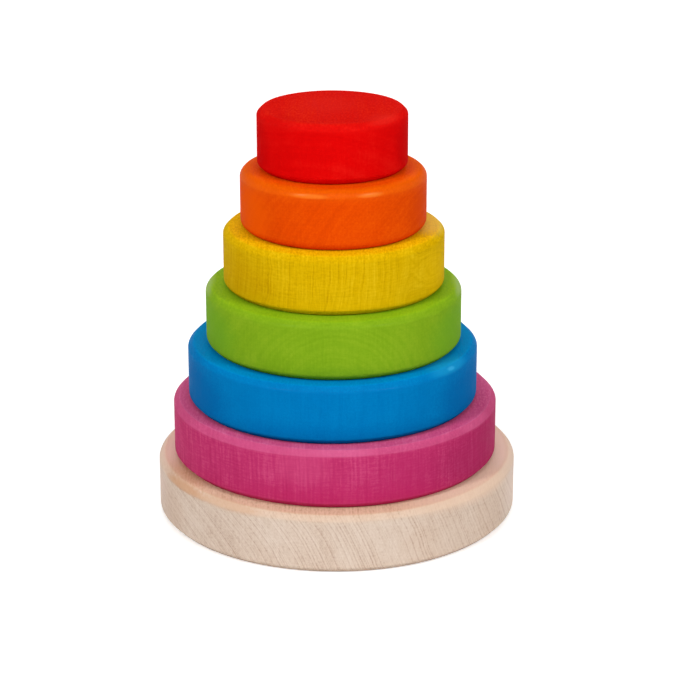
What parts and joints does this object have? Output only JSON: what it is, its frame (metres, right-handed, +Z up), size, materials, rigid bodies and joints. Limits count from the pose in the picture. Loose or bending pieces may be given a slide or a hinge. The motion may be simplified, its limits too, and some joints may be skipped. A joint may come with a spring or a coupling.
{
  "type": "stacking toy",
  "caption": "Wooden stacking tower: bevelled round discs that shrink towards the top, dropped loosely over a peg glued in a natural base, under a plain solid-topped cap.",
  "frame": {"origin": "centre of the base disc's underside", "axes": "+Z up along the peg; -Y faces the viewer of the picture; +X to that viewer's right"},
  "size_m": [0.122, 0.122, 0.14],
  "materials": {
    "natural_wood": "sanded, unpainted",
    "peg_wood": "sanded, unpainted",
    "pink_stain": "satin stain",
    "blue_stain": "satin stain",
    "green_stain": "satin stain",
    "yellow_stain": "satin stain",
    "orange_stain": "satin stain",
    "red_stain": "satin stain"
  },
  "bodies": {
    "base": {"base_disc": "natural_wood", "peg": "peg_wood"},
    "pink": {"pink_ring": "pink_stain"},
    "blue": {"blue_ring": "blue_stain"},
    "green": {"green_ring": "green_stain"},
    "yellow": {"yellow_ring": "yellow_stain"},
    "orange": {"orange_ring": "orange_stain"},
    "red": {"red_cap": "red_stain"}
  },
  "joints": [
    {"name": "pink_lift", "type": "slide", "parent": "base", "child": "pink", "axis": [0, 0, 1], "range_m": [0, 0.12]},
    {"name": "blue_lift", "type": "slide", "parent": "pink", "child": "blue", "axis": [0, 0, 1], "range_m": [0, 0.1]},
    {"name": "green_lift", "type": "slide", "parent": "blue", "child": "green", "axis": [0, 0, 1], "range_m": [0, 0.08]},
    {"name": "yellow_lift", "type": "slide", "parent": "green", "child": "yellow", "axis": [0, 0, 1], "range_m": [0, 0.06]},
    {"name": "orange_lift", "type": "slide", "parent": "yellow", "child": "orange", "axis": [0, 0, 1], "range_m": [0, 0.04]},
    {"name": "red_lift", "type": "slide", "parent": "orange", "child": "red", "axis": [0, 0, 1], "range_m": [0, 0.02]}
  ]
}
